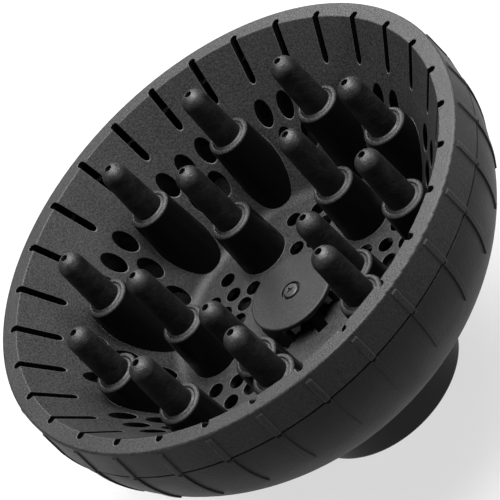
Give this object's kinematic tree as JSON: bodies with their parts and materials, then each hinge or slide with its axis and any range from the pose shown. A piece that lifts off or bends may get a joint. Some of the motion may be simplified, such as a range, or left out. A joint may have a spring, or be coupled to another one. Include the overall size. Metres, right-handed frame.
{
  "type": "hair dryer diffuser",
  "caption": "Round bowl-shaped hair dryer diffuser with hollow air fingers, a perforated slotted bowl, a ribbed rear housing and a push-on neck.",
  "frame": {"origin": "on the bowl's axis, in the plane of the neck's rear end", "axes": "+Z along the axis, out of the bowl's mouth; +X towards the key notch in the bowl's floor"},
  "size_m": [0.1508, 0.1514, 0.0855],
  "materials": {
    "bowl_plastic": "fine grained matte",
    "shell_plastic": "fine grained matte",
    "finger_plastic": "satin",
    "disc_plastic": "satin",
    "spider_plastic": "as moulded",
    "neck_plastic": "polished",
    "screw_steel": "blackened"
  },
  "bodies": {
    "root": {"front_bowl": "bowl_plastic", "rear_shell": "shell_plastic", "neck_sleeve": "neck_plastic", "hub_spider": "spider_plastic", "deflector_disc": "disc_plastic", "deflector_screw": "screw_steel", "spider_screws": "screw_steel", "finger_outer_01": "finger_plastic", "finger_outer_02": "finger_plastic", "finger_outer_03": "finger_plastic", "finger_outer_04": "finger_plastic", "finger_outer_05": "finger_plastic", "finger_outer_06": "finger_plastic", "finger_outer_07": "finger_plastic", "finger_outer_08": "finger_plastic", "finger_outer_09": "finger_plastic", "finger_outer_10": "finger_plastic", "finger_inner_1": "finger_plastic", "finger_inner_2": "finger_plastic", "finger_inner_3": "finger_plastic", "finger_inner_4": "finger_plastic", "finger_inner_5": "finger_plastic"}
  },
  "joints": []
}
